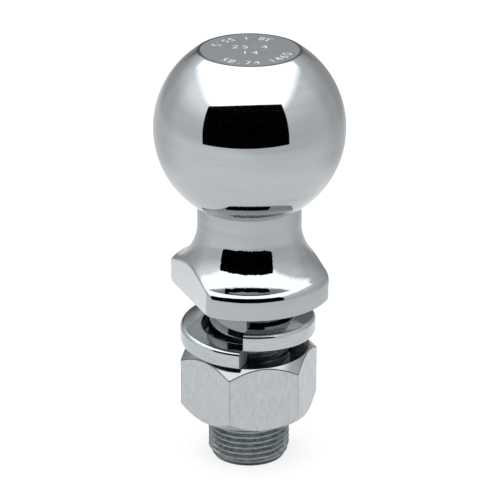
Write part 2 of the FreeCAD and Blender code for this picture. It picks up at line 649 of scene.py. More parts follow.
@dataclass
class Thread:
    """Helical ridge of a 60 degree thread, made by a tree of Geometry Nodes."""

    name: str
    crest_r: float
    depth: float
    low: float
    high: float
    side: Side
    low_chamfer: float
    high_chamfer: float
    chamfer_drop: float
    pitch: float = 25.4 / 14
    crest_share: float = 0.125
    flank_angle: float = 30.0
    bury: float = 0.25
    hand: Hand = Hand.RIGHT
    steps: int = 112
    sharp: float = 40.0

    def ridge(self, tree: bpy.types.NodeTree, values: dict[str, object]) -> bpy.types.Node:
        """Adds the nodes that sweep the ridge's section along its helix.

        Args:
            tree: the tree that gets them.
            values: the tree's named inputs, to which the worked-out sizes are added.

        Returns:
            The node that gives the ridge.
        """
        for name, operation, a, b in (
            ("Rise", "SUBTRACT", "High", "Low"),
            ("Turns", "DIVIDE", "Rise", "Pitch"),
            ("Half Height", "MULTIPLY", "Height", 0.5),
            ("Middle Radius", "SUBTRACT", "Crest Radius", "Half Height"),
            ("Section Height", "ABSOLUTE", "Height", 0.0),
            ("Sign", "SIGN", "Height", 0.0),
            ("Quarter Turn", "MULTIPLY", "Sign", -math.pi / 2),
            ("Low Run", "ADD", "Low Chamfer", "Pitch"),
            ("Low End", "ADD", "Low", "Low Run"),
            ("Low Start", "ADD", "Low", "Pitch"),
            ("High End", "SUBTRACT", "High", "Pitch"),
            ("High Start", "SUBTRACT", "High End", "High Chamfer"),
        ):
            terms = {0: values.get(a, a), 1: values.get(b, b)}
            values[name] = add_node(tree, "ShaderNodeMath", terms, operation=operation)
        turning = {
            "Resolution": values["Steps"],
            "Rotations": values["Turns"],
            "Start Radius": values["Middle Radius"],
            "End Radius": values["Middle Radius"],
            "Height": values["Rise"],
            "Reverse": values["Right Hand"],
        }
        helix = add_node(tree, "GeometryNodeCurveSpiral", turning)
        lift = add_node(tree, "ShaderNodeCombineXYZ", {"Z": values["Low"]})
        raised = add_node(tree, "GeometryNodeTransform", {"Geometry": helix, "Translation": lift})
        upright = add_node(tree, "GeometryNodeSetCurveNormal", {"Curve": raised}, mode="Z_UP")
        outline = {
            "Height": values["Section Height"],
            "Bottom Width": values["Root Width"],
            "Top Width": values["Crest Width"],
            "Offset": 0.0,
        }
        section = add_node(tree, "GeometryNodeCurvePrimitiveQuadrilateral", outline, mode="TRAPEZOID")
        quarter = add_node(tree, "ShaderNodeCombineXYZ", {"Z": values["Quarter Turn"]})
        turned = add_node(tree, "GeometryNodeTransform", {"Geometry": section, "Rotation": quarter})
        sweep = {"Curve": upright, "Profile Curve": turned, "Fill Caps": True}
        return add_node(tree, "GeometryNodeCurveToMesh", sweep)

    def trimmed_place(self, tree: bpy.types.NodeTree, values: dict[str, object]) -> bpy.types.Node:
        """Adds the nodes that pull the ridge in at the chamfers and cut it level at both ends.

        Args:
            tree: the tree that gets them.
            values: the sizes that the ridge's nodes have left there.

        Returns:
            The node that gives each point's new place.
        """
        at = add_node(tree, "GeometryNodeInputPosition")
        split = add_node(tree, "ShaderNodeSeparateXYZ", {0: at}).outputs
        flat = add_node(tree, "ShaderNodeCombineXYZ", {"X": split["X"], "Y": split["Y"]})
        radius = add_node(tree, "ShaderNodeVectorMath", {0: flat}, operation="LENGTH")
        values |= {"X": split["X"], "Y": split["Y"], "Z": split["Z"], "Radius": radius}
        for name, start, end, first, last in (
            ("Low Share", "Low Start", "Low End", 1.0, 0.0),
            ("High Share", "High Start", "High End", 0.0, 1.0),
        ):
            reach = {"Value": values["Z"], "From Min": values[start], "From Max": values[end]}
            values[name] = add_node(tree, "ShaderNodeMapRange", {**reach, "To Min": first, "To Max": last})
        for name, operation, a, b in (
            ("Share", "MAXIMUM", "Low Share", "High Share"),
            ("Drop", "MULTIPLY", "Share", "Chamfer Drop"),
            ("Signed Crest", "MULTIPLY", "Crest Radius", "Sign"),
            ("Limit", "SUBTRACT", "Signed Crest", "Drop"),
            ("Signed Radius", "MULTIPLY", "Radius", "Sign"),
            ("Signed Trim", "MINIMUM", "Signed Radius", "Limit"),
            ("Trimmed Radius", "MULTIPLY", "Signed Trim", "Sign"),
            ("Shrink", "DIVIDE", "Trimmed Radius", "Radius"),
            ("New X", "MULTIPLY", "X", "Shrink"),
            ("New Y", "MULTIPLY", "Y", "Shrink"),
            ("Above Low", "MAXIMUM", "Z", "Low Start"),
            ("New Z", "MINIMUM", "Above Low", "High End"),
        ):
            terms = {0: values[a], 1: values[b]}
            values[name] = add_node(tree, "ShaderNodeMath", terms, operation=operation)
        return add_node(tree, "ShaderNodeCombineXYZ", {axis: values["New " + axis] for axis in "XYZ"})

    def tree(self) -> bpy.types.NodeTree:
        """Builds the tree that winds the ridge and trims it to the chamfers.

        Returns:
            The node tree, with its sizes as named inputs.
        """
        tree = bpy.data.node_groups.new(self.name + "_tree", "GeometryNodeTree")
        kinds = {"Geometry": "Geometry", **dict.fromkeys(self.sizes(), "Float")}
        kinds |= {"Steps": "Int", "Right Hand": "Bool", "Finish": "Material"}
        for label, kind in kinds.items():
            tree.interface.new_socket(label, in_out="INPUT", socket_type="NodeSocket" + kind)
        tree.interface.new_socket("Geometry", in_out="OUTPUT", socket_type="NodeSocketGeometry")
        values = dict(add_node(tree, "NodeGroupInput").outputs.items())
        ridge = self.ridge(tree, values)
        target = self.trimmed_place(tree, values)
        moved = add_node(tree, "GeometryNodeSetPosition", {"Geometry": ridge, "Position": target})
        real = add_node(tree, "GeometryNodeRealizeInstances", {0: moved})
        dressed = add_node(tree, "GeometryNodeSetMaterial", {"Geometry": real, "Material": values["Finish"]})
        add_node(tree, "NodeGroupOutput", {0: dressed})
        return tree

    def sizes(self) -> dict[str, float]:
        """Works out the tree's sizes.

        Returns:
            Each named size in metres.
        """
        slope = math.tan(math.radians(self.flank_angle))
        crest = self.pitch * self.crest_share
        tall = self.depth + self.bury
        return {
            "Low": (self.low - self.pitch) * MM,
            "High": (self.high + self.pitch) * MM,
            "Pitch": self.pitch * MM,
            "Crest Radius": self.crest_r * MM,
            "Height": self.side.value * tall * MM,
            "Crest Width": crest * MM,
            "Root Width": (crest + 2 * tall * slope) * MM,
            "Low Chamfer": self.low_chamfer * MM,
            "High Chamfer": self.high_chamfer * MM,
            "Chamfer Drop": self.chamfer_drop * MM,
        }

    def build(self, finish: bpy.types.Material) -> bpy.types.Object:
        """Winds the ridge and returns it as a plain mesh object.

        Args:
            finish: material of the ridge.

        Returns:
            The ridge's object.
        """
        carrier = in_scene(self.name + "_carrier", bpy.data.meshes.new(self.name + "_carrier"))
        tree = self.tree()
        modifier = carrier.modifiers.new("winding", "NODES")
        modifier.node_group = tree
        choices = {"Steps": self.steps, "Right Hand": self.hand is Hand.RIGHT, "Finish": finish}
        values = {**self.sizes(), **choices}
        for item in tree.interface.items_tree:
            if item.in_out == "INPUT" and item.name in values:
                modifier[item.identifier] = values[item.name]
        mesh = plain_mesh(carrier)
        tidy_mesh(mesh, self.sharp)
        mesh.name = self.name
        return in_scene(self.name, mesh)


# The object


@dataclass(frozen=True)
class Stamp:
    """One row of figures on the top flat, round an arc about the axis or straight across."""

    figures: str
    height: float
    arc_r: float = 0.0
    angle: float = 0.0
    lift: float = 0.0
    spacing: float = 0.92

    def spots(self) -> list[tuple[str, float, float, float]]:
        """Places the figures.

        Returns:
            Each figure with its place across and back and its turn in radians.
        """
        step = self.height * self.spacing
        places = []
        for order, figure in enumerate(self.figures):
            along = (order - (len(self.figures) - 1) / 2) * step
            if self.arc_r > 0:
                turn = math.radians(self.angle) + along / self.arc_r
                places.append((figure, self.arc_r * math.sin(turn), -self.arc_r * math.cos(turn), turn))
            else:
                places.append((figure, along, self.lift, 0.0))
        return places


@dataclass
class TowBall:
    """Ball, neck, flange and shank: one turned and plated forging with two spanner flats."""

    ball_r: float = 29.35
    ball_height: float = 53.3
    top_flat_r: float = 15.8
    rim_r: float = 1.3
    polished_ring: float = 0.45
    neck_r: float = 16.1
    blend_r: float = 16.3
    foot_r: float = 13.5
    foot_angle: float = 37.9
    flange_r: float = 25.75
    band_height: float = 5.65
    shoulder_r: float = 3.0
    seat_edge_r: float = 0.6
    flat_reach: float = 20.15
    flats_angle: float = -67.4
    flat_foot_r: float = 0.3
    flat_lean: float = 0.995
    flat_slack: float = 0.1
    upright_edge: float = 1.8
    arch_edge: float = 0.6
    edge_change: Spot = (4.0, 8.0)
    shank_r: float = 12.7
    shank_length: float = 55.5
    plain_length: float = 12.0
    plate_overlap: float = 0.2
    runout: float = 1.2
    crest_r: float = 12.65
    thread_depth: float = 1.11
    end_chamfer: float = 1.5
    end_chamfer_length: float = 2.6
    sawn_height: float = 0.4
    columns: int = 400
    sharp: float = 24.0
    stamp_depth: float = 0.15
    stamp_slack: float = 0.01
    blank_depth: float = 2.0
    font_size: float = 1.35
    stamps: tuple[Stamp, ...] = (
        Stamp("58.74 1460", 3.2, arc_r=11.9, angle=16.0, spacing=0.8),
        Stamp("25.4", 3.2, lift=2.6),
        Stamp("14", 3.2, lift=-2.6),
        Stamp("38.1 55.5", 3.0, arc_r=11.2, angle=198.0, spacing=0.8),
    )

    def top(self) -> float:
        """Height of the flat on top of the ball."""
        return self.ball_height + math.sqrt(self.ball_r**2 - self.top_flat_r**2)

    def shank_profile(self) -> Profile:
        """Draws the shank at the root of its thread.

        Returns:
            Its outline, from inside its end face up to the edge of the seat.
        """
        root_r = self.crest_r - self.thread_depth
        end = -self.shank_length
        end_r = self.crest_r - self.end_chamfer
        cone_rise = (root_r - end_r) * self.end_chamfer_length / self.end_chamfer
        full = -self.plain_length - self.runout
        return joined(
            run((end_r / 2, end), (end_r, end), 2),
            run((end_r, end), (root_r, end + cone_rise), 2),
            run((root_r, end + cone_rise), (root_r, full - self.thread_depth), 4),
            run((root_r, full - self.thread_depth), (self.crest_r, full), 3),
            run((self.crest_r, full), (self.shank_r, -self.plain_length), 2),
            run((self.shank_r, -self.plain_length), (self.shank_r, 0), 4),
            run((self.shank_r, 0), (self.flange_r - self.seat_edge_r, 0), 6),
        )

    def flange_profile(self) -> Profile:
        """Draws the flange's band, its shoulder and the blend that has a foot of a lesser radius.

        Returns:
            Its outline, from the seat up to the neck.
        """
        shoulder_x = self.flange_r - self.shoulder_r
        change = math.radians(self.foot_angle)
        ease = self.blend_r - self.foot_r
        foot_x = self.neck_r + self.blend_r - ease * math.cos(change)
        reach = self.shoulder_r + self.foot_r
        meet = math.acos((foot_x - shoulder_x) / reach)
        foot_z = self.band_height + reach * math.sin(meet)
        blend_z = foot_z + ease * math.sin(change)
        meet = math.degrees(meet)
        return joined(
            arc((self.flange_r - self.seat_edge_r, self.seat_edge_r), self.seat_edge_r, -90, 0, 8),
            run((self.flange_r, self.seat_edge_r), (self.flange_r, self.band_height), 12),
            arc((shoulder_x, self.band_height), self.shoulder_r, 0, meet, 14),
            arc((foot_x, foot_z), self.foot_r, 180 + meet, 180 + self.foot_angle, 18),
            arc((self.neck_r + self.blend_r, blend_z), self.blend_r, 180 + self.foot_angle, 180, 28),
        )

    def ball_profile(self, blend_end: Spot) -> Profile:
        """Draws the neck, the ball and its eased rim.

        Args:
            blend_end: radius and height at which the flange's blend ends.

        Returns:
            The outline, from there up to the edge of the stamped face.
        """
        neck_angle = -math.degrees(math.acos(self.neck_r / self.ball_r))
        rim_z = self.top() - self.rim_r - self.ball_height
        rim_x = math.sqrt((self.ball_r - self.rim_r) ** 2 - rim_z**2)
        rim_angle = math.degrees(math.atan2(rim_z, rim_x))
        neck_top = self.ball_height + self.ball_r * math.sin(math.radians(neck_angle))
        return joined(
            run((self.neck_r, blend_end[1]), (self.neck_r, neck_top), 4),
            arc((0, self.ball_height), self.ball_r, neck_angle, rim_angle, 84),
            arc((rim_x, self.top() - self.rim_r), self.rim_r, rim_angle, 90, 10),
            run((rim_x, self.top()), (rim_x - self.polished_ring, self.top()), 1),
        )

    def cut_back(self, angle: float, radius: float, height: float) -> float:
        """Cuts the spanner flats, their edges eased by the polishing.

        Args:
            angle: compass angle in degrees.
            radius: radius of the turned form there.
            height: height there.

        Returns:
            The radius that is left.
        """
        if height >= self.ball_height - self.ball_r or radius <= self.neck_r:
            return radius
        low, high = self.edge_change
        share = min(max((height - low) / (high - low), 0.0), 1.0)
        ease = self.upright_edge + (self.arch_edge - self.upright_edge) * share
        foot = max(self.flat_foot_r - height, 0.0)
        reach = self.flat_reach - self.flat_foot_r + math.sqrt(max(self.flat_foot_r**2 - foot**2, 0.0))
        for turn in (self.flats_angle, self.flats_angle + 180):
            lean = math.cos(math.radians(angle - turn))
            # Further round, the flat's plane lies well outside the flange.
            if lean > reach / (2 * self.flange_r):
                radius = smooth_min(radius, reach / lean, ease)
        return radius

    def finishes(self) -> tuple[Finish, ...]:
        """Returns the forging's finishes in the order of BallSlot."""
        turned = (ChromiumPlate(), TurnedFace(), STAMPED_STEEL, THREAD_OXIDE_AND_SHADE)
        return *turned, FLANGE_PLATE, MILLED_FLAT, SHANK_PLATE, SAWN_END_PAINTED_SHADE

    def on_flat(self, face: bpy.types.MeshPolygon) -> bool:
        """Tells whether a face lies on one of the spanner flats.

        Args:
            face: a face of the forging.

        Returns:
            Whether it looks the same way as a flat and lies close to one.
        """
        turn = math.radians(self.flats_angle)
        out = Vector((math.sin(turn), -math.cos(turn), 0.0))
        near = abs(face.center.dot(out)) > (self.flat_reach - self.flat_slack) * MM
        return near and abs(face.normal.dot(out)) > self.flat_lean

    def punches(self) -> bpy.types.Object:
        """Makes the punches: plain numbers round and across the flat, as solids that reach below it.

        Returns:
            The punches' object.
        """
        work = bmesh.new()
        for stamp in self.stamps:
            for figure, across, back, turned in stamp.spots():
                curve = bpy.data.curves.new("figure", "FONT")
                curve.body = figure
                curve.size = stamp.height * self.font_size * MM
                curve.align_x = "CENTER"
                curve.align_y = "CENTER"
                curve.extrude = self.stamp_depth * MM
                curve.resolution_u = 4
                mesh = plain_mesh(in_scene("figure", curve))
                move = Matrix.Translation((across * MM, back * MM, self.top() * MM))
                mesh.transform(move @ Matrix.Rotation(turned, 4, "Z"))
                work.from_mesh(mesh)
        marks = bpy.data.meshes.new("punches")
        work.to_mesh(marks)
        work.free()
        tidy_mesh(marks, self.sharp)
        return in_scene("punches", marks)

    def stamped_face(self, edge_r: float) -> bpy.types.Mesh:
        """Makes the top flat with the numbers sunk in it.

        Args:
            edge_r: radius at which it meets the ball's rim.

        Returns:
            A mesh of the flat and the walls and floors of the numbers, open at its edge.
        """
        top = self.top()
        points = []
        for height in (top - self.blank_depth, top):
            points += [place(360 * i / self.columns, edge_r, height) for i in range(self.columns)]
        faces = grid_faces(2, self.columns)
        faces.append(tuple(range(self.columns)))
        faces.append(tuple(range(self.columns, 2 * self.columns)))
        mesh = new_mesh("blank", points, faces)
        tidy_mesh(mesh, self.sharp)
        blank, punches = in_scene("blank", mesh), self.punches()
        cut = blank.modifiers.new("punch", "BOOLEAN")
        cut.operation = "DIFFERENCE"
        cut.solver = "EXACT"
        cut.object = punches
        mesh = plain_mesh(blank)
        bpy.data.objects.remove(punches)
        work = bmesh.new()
        work.from_mesh(mesh)
        deep = (top - 2 * self.stamp_depth) * MM
        waste = [face for face in work.faces if face.calc_center_median().z < deep]
        bmesh.ops.delete(work, geom=waste, context="FACES")
        for face in work.faces:
            sunk = face.calc_center_median().z < (top - self.stamp_slack) * MM
            face.material_index = BallSlot.STAMPED if sunk else BallSlot.TOP_FLAT
        bmesh.ops.triangulate(work, faces=work.faces)
        work.to_mesh(mesh)
        work.free()
        return mesh

    def body_mesh(self) -> bpy.types.Object:
        """Turns the profile, cuts the flats and closes the top with the stamped face.

        Returns:
            The forging's object.
        """
        flange = self.flange_profile()
        rows = joined(self.shank_profile(), flange, self.ball_profile(flange[-1]))
        points: list[Point] = []
        for radius, height in rows:
            for i in range(self.columns):
                angle = 360 * i / self.columns
                points.append(place(angle, self.cut_back(angle, radius, height), height))
        faces = grid_faces(len(rows), self.columns)
        faces += [(len(points), (i + 1) % self.columns, i) for i in range(self.columns)]
        points.append((0.0, 0.0, -self.shank_length * MM))
        mesh = new_mesh("tow_ball_forging", points, faces)
        work = bmesh.new()
        work.from_mesh(mesh)
        work.from_mesh(self.stamped_face(rows[-1][0]))
        work.to_mesh(mesh)
        work.free()
        tidy_mesh(mesh, self.sharp)
        return in_scene("tow_ball_forging", mesh)

    def dress(self, piece: bpy.types.Object) -> None:
        """Gives the shank, the flange and the neck their own finishes.

        Args:
            piece: the forging, whose other faces have their slots already.
        """
        give_finishes(piece, self.finishes())
        neck_top = self.ball_height - math.sqrt(self.ball_r**2 - self.neck_r**2)
        tops = (
            # The sawn end takes the painted shade where the shank stands on the floor.
            (self.sawn_height - self.shank_length, BallSlot.SAWN),
            (-self.plain_length - self.plate_overlap, BallSlot.THREAD),
            (0.0, BallSlot.SHANK),
            (neck_top, BallSlot.FLANGE),
        )
        for face in piece.data.polygons:
            slot = next((slot for top, slot in tops if face.center.z < top * MM), None)
            if slot is BallSlot.FLANGE and self.on_flat(face):
                slot = BallSlot.SPANNER_FLAT
            if slot is not None:
                face.material_index = slot

    def build(self) -> list[bpy.types.Object]:
        """Builds and dresses the forging and its thread.

        Returns:
            Both objects.
        """
        piece = self.body_mesh()
        self.dress(piece)
        thread = Thread(
            name="shank_thread",
            crest_r=self.crest_r,
            depth=self.thread_depth,
            low=-self.shank_length,
            high=-self.plain_length - self.runout,
            side=Side.OUTWARD,
            low_chamfer=self.end_chamfer_length,
            high_chamfer=0.2,
            chamfer_drop=self.end_chamfer,
        ).build(piece.data.materials[BallSlot.THREAD])
        for part in (piece, thread):
            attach(part, "tow_ball")
            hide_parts("tow_ball")
        return [piece, thread]


@dataclass
class LockWasher:
    """Split washer: a bar with rounded edges bent into one left-hand turn, its ends cut at a slant."""

    inner_r: float = 13.95
    bar_width: float = 7.1
    bar_height: float = 5.9
    corner_r: float = 1.3
    rise: float = 6.1
    split_angle: float = 3.3
    cut_slant: float = 15.0
    low_end_angle: float = -4.7
    shift: Spot = (-0.38, 0.15)
    underside: float = -18.5
    hand: Hand = Hand.LEFT
    steps: int = 288
    corner_steps: int = 5
    sharp: float = 32.0
    inward_share: float = 0.5
    downward_share: float = 0.7

    def middle_r(self) -> float:
        """Radius of the bar's middle line."""
        return self.inner_r + self.bar_width / 2

    def section(self) -> Profile:
        """Draws the bar's section.

        Returns:
            Its points: how far out from the inner side, and height.
        """
        far, high = self.bar_width - self.corner_r, self.bar_height - self.corner_r
        near = self.corner_r
        points = []
        for x, z, start in ((far, near, -90), (far, high, 0), (near, high, 90), (near, near, 180)):
            points += arc((x, z), self.corner_r, start, start + 90, self.corner_steps)
        return points

    def bar_points(self, outline: Profile) -> list[Point]:
        """Carries the bar's section along its helix.

        Args:
            outline: the section.

        Returns:
            The points of the bar, one closed ring for each step.
        """
        slant = math.radians(self.cut_slant)
        lead, side = self.middle_r() * math.cos(slant), self.middle_r() * math.sin(slant)
        points: list[Point] = []
        for step in range(self.steps + 1):
            turned = (360 - self.split_angle) * step / self.steps
            alpha = math.radians(self.low_end_angle + self.hand.value * turned - 90)
            lean = alpha + self.hand.value * slant
            for x, z in outline:
                # How far the radius is from the bar's middle line, along the slanted section
                along = math.sqrt((self.inner_r + x) ** 2 - side**2) - lead
                across = self.middle_r() * math.cos(alpha) + along * math.cos(lean) + self.shift[0]
                back = self.middle_r() * math.sin(alpha) + along * math.sin(lean) + self.shift[1]
                height = self.underside + z + self.rise * turned / 360
                points.append((across * MM, back * MM, height * MM))
        return points

    def lay_along(self, mesh: bpy.types.Mesh, outline: Profile) -> None:
        """Gives the bar a UV map in metres, along the bar and round its section.

        Args:
            mesh: the bar's mesh.
            outline: the section that it is made of.
        """
        count = len(outline)
        girth = [0.0]
        for a, b in zip(outline, outline[1:] + outline[:1]):
            girth.append(girth[-1] + math.dist(a, b))
        length = math.radians(360 - self.split_angle) * self.middle_r()
        layer = mesh.uv_layers.new(name="along_bar")
        for face in mesh.polygons:
            places = [divmod(mesh.loops[i].vertex_index, count) for i in face.loop_indices]
            # A face that closes the ring reads the whole girth at the ring's first point, not 0.
            wraps = {0, count - 1} <= {spot for _, spot in places}
            for corner, (step, spot) in zip(face.loop_indices, places):
                around = girth[-1] if wraps and spot == 0 else girth[spot]
                layer.data[corner].uv = (length * step / self.steps * MM, around * MM)

    def dress(self, piece: bpy.types.Object) -> None:
        """Gives the bar its plate, its ends their own finish, and its inner wall and underside a painted
        shade.

        Args:
            piece: the washer.
        """
        give_finishes(piece, (WASHER_PLATE, WASHER_INSIDE_SHADE, SHEARED_END))
        middle = Vector((self.shift[0] * MM, self.shift[1] * MM, 0.0))
        for face in piece.data.polygons:
            out = face.center - middle
            out.z = 0.0
            out.normalize()
            inward, downward = -face.normal.dot(out), -face.normal.z
            if len(face.vertices) > 4:
                face.material_index = WasherSlot.END
            # Faces that look in towards the shank or down get the painted shade.
            elif inward > self.inward_share or downward > self.downward_share:
                face.material_index = WasherSlot.BORE

    def build(self) -> list[bpy.types.Object]:
        """Builds and dresses the washer.

        Returns:
            The washer's object, alone in a list.
        """
        outline = self.section()
        count = len(outline)
        faces = grid_faces(self.steps + 1, count)
        faces.append(tuple(reversed(range(count))))
        faces.append(tuple(self.steps * count + i for i in range(count)))
        mesh = new_mesh("lock_washer_bar", self.bar_points(outline), faces)
        self.lay_along(mesh, outline)
        tidy_mesh(mesh, self.sharp)
        piece = in_scene("lock_washer_bar", mesh)
        self.dress(piece)
        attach(piece, "lock_washer")
        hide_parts("lock_washer")
        return [piece]


@dataclass
class HexNut:
    """Hexagon nut with both faces chamfered and a threaded bore."""

    width: float = 38.1
    height: float = 21.3
    drop: float = 18.7
    chamfer_inset: float = 0.3
    chamfer_slope: float = 46.0
    corner_angle: float = -16.2
    corner_ease: float = 0.5
    bore_r: float = 12.71
    countersink: float = 0.8
    thread_depth: float = 0.75
    columns: int = 288
    edge_ease: float = 0.22
    edge_share: float = 0.4
    edge_steps: int = 4
    side_margin: float = 1.0
    bore_margin: float = 1.0
    turned_slope: float = 0.62
    line_slope: float = 0.03
    corner_columns: float = 0.505
    sharp: float = 30.0

    def from_corner(self, angle: float) -> float:
        """Angle from the middle of the nearest corner of the hexagon, in degrees."""
        return (angle - self.corner_angle + 30) % 60 - 30

    def outline_r(self, angle: float) -> float:
        """Works out the hexagon, its corners eased.

        Args:
            angle: compass angle in degrees.

        Returns:
            Distance from the axis to the hexagon there.
        """
        turn = (angle - self.corner_angle) % 60 - 30
        other = turn + (60 if turn < 0 else -60)
        near, far = (self.width / 2 / math.cos(math.radians(way)) for way in (turn, other))
        return smooth_min(near, far, self.corner_ease)

    def eased(self, before: Spot, corner: Spot, after: Spot) -> Profile:
        """Rounds one corner of a profile.

        Args:
            before: the corner before it.
            corner: the corner that is rounded.
            after: the corner after it.

        Returns:
            The points in place of the corner.
        """
        shorter = min(math.dist(before, corner), math.dist(corner, after))
        near = min(self.edge_ease, self.edge_share * shorter)
        a, b, c = Vector(before), Vector(corner), Vector(after)
        start, end = b + (a - b).normalized() * near, b + (c - b).normalized() * near
        points = []
        for i in range(self.edge_steps + 1):
            t = i / self.edge_steps
            spot = start * (1 - t) ** 2 + b * 2 * t * (1 - t) + end * t**2
            points.append((spot.x, spot.y))
        return points

    def column(self, angle: float) -> Profile:
        """Draws the nut's closed outline.

        Args:
            angle: compass angle in degrees.

        Returns:
            The outline there, from the bore's top round to its foot.
        """
        top, foot = -self.drop, -self.drop - self.height
        face_r = self.width / 2 - self.chamfer_inset
        reach = self.outline_r(angle)
        fall = (reach - face_r) * math.tan(math.radians(self.chamfer_slope))
        mouth_r = self.bore_r + self.countersink
        root_r = self.bore_r + self.thread_depth
        middle_r = (mouth_r + face_r) / 2
        lip = mouth_r - root_r
        upper: Profile = [(mouth_r, top), (face_r, top), (reach, top - fall)]
        rim = upper + [(reach, foot + fall), (face_r, foot), (mouth_r, foot)]
        points: Profile = [(root_r, top - lip), rim[0], (middle_r, top)]
        for i in range(1, 5):
            points += self.eased(*rim[i - 1 : i + 2])
            if i == 2:
                high, low = top - fall - self.side_margin, foot + fall + self.side_margin
                points += run((reach, high), (reach, low), 6)
        return points + [(middle_r, foot), rim[-1], (root_r, foot + lip)]

    def slot(self, face: bpy.types.MeshPolygon) -> NutSlot:
        """Chooses the finish of a face.

        Args:
            face: a face of the nut.

        Returns:
            Its material slot.
        """
        middle = -(self.drop + self.height / 2) * MM
        inside = math.hypot(face.center.x, face.center.y) < (self.bore_r + self.bore_margin) * MM
        angle = math.degrees(math.atan2(face.center.x, -face.center.y))
        corner = self.corner_columns * 360 / self.columns
        if inside or abs(face.normal.z) > self.turned_slope:
            return NutSlot.TURNED
        # The upper edge between chamfer and sides gets the painted shade line.
        if face.normal.z > self.line_slope and face.center.z > middle:
            return NutSlot.CHAMFER_LINE
        return NutSlot.CORNER if abs(self.from_corner(angle)) < corner else NutSlot.SIDE

    def build(self) -> list[bpy.types.Object]:
        """Builds and dresses the nut and its thread.

        Returns:
            Both objects.
        """
        angles = [360 * i / self.columns for i in range(self.columns)]
        rows = list(zip(*(self.column(angle) for angle in angles)))
        points = [place(angle, *spot) for row in rows for angle, spot in zip(angles, row)]
        faces = grid_faces(len(rows), self.columns)
        last = (len(rows) - 1) * self.columns
        for i in range(self.columns):
            after = (i + 1) % self.columns
            faces.append((last + i, last + after, after, i))
        mesh = new_mesh("hex_nut_forging", points, faces)
        tidy_mesh(mesh, self.sharp)
        piece = in_scene("hex_nut_forging", mesh)
        give_finishes(piece, (NUT_SIDES, TURNED_NUT_FACE, SHADE_LINE_ON_EDGE, DARKER_CORNER))
        for face in piece.data.polygons:
            face.material_index = self.slot(face)
        thread = Thread(
            name="nut_thread",
            crest_r=self.bore_r,
            depth=self.thread_depth,
            low=-self.drop - self.height,
            high=-self.drop,
            side=Side.INWARD,
            low_chamfer=self.countersink,
            high_chamfer=self.countersink,
            chamfer_drop=self.countersink,
        ).build(piece.data.materials[NutSlot.TURNED])
        for part in (piece, thread):
            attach(part, "hex_nut")
            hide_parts("hex_nut")
        return [piece, thread]


# Setting


def seen_rays(tree: bpy.types.NodeTree) -> bpy.types.Node:
    """Tells rays that show the background from rays that light the object.

    Args:
        tree: the node tree that gets the nodes.

    Returns:
        The node that gives 1 for camera, glossy and transmission rays, else 0.
    """
    rays = add_node(tree, "ShaderNodeLightPath").outputs
    seen = rays["Is Camera Ray"]
    for other in ("Is Glossy Ray", "Is Transmission Ray"):
        seen = add_node(tree, "ShaderNodeMath", {0: seen, 1: rays[other]}, operation="MAXIMUM")
    return seen


@dataclass(frozen=True)
class OpeningEdge:
    """Lower or upper edge of the dark opening, in degrees from the ball's centre."""

    left: float
    width: float
    elevation: float
    climb: float
    bulge: float

    def at(self, share: float) -> Spot:
        """Azimuth and elevation at a share of the way from left to right."""
        elevation = self.elevation + self.climb * share + self.bulge * share * (1 - share)
        return self.left + self.width * share, elevation


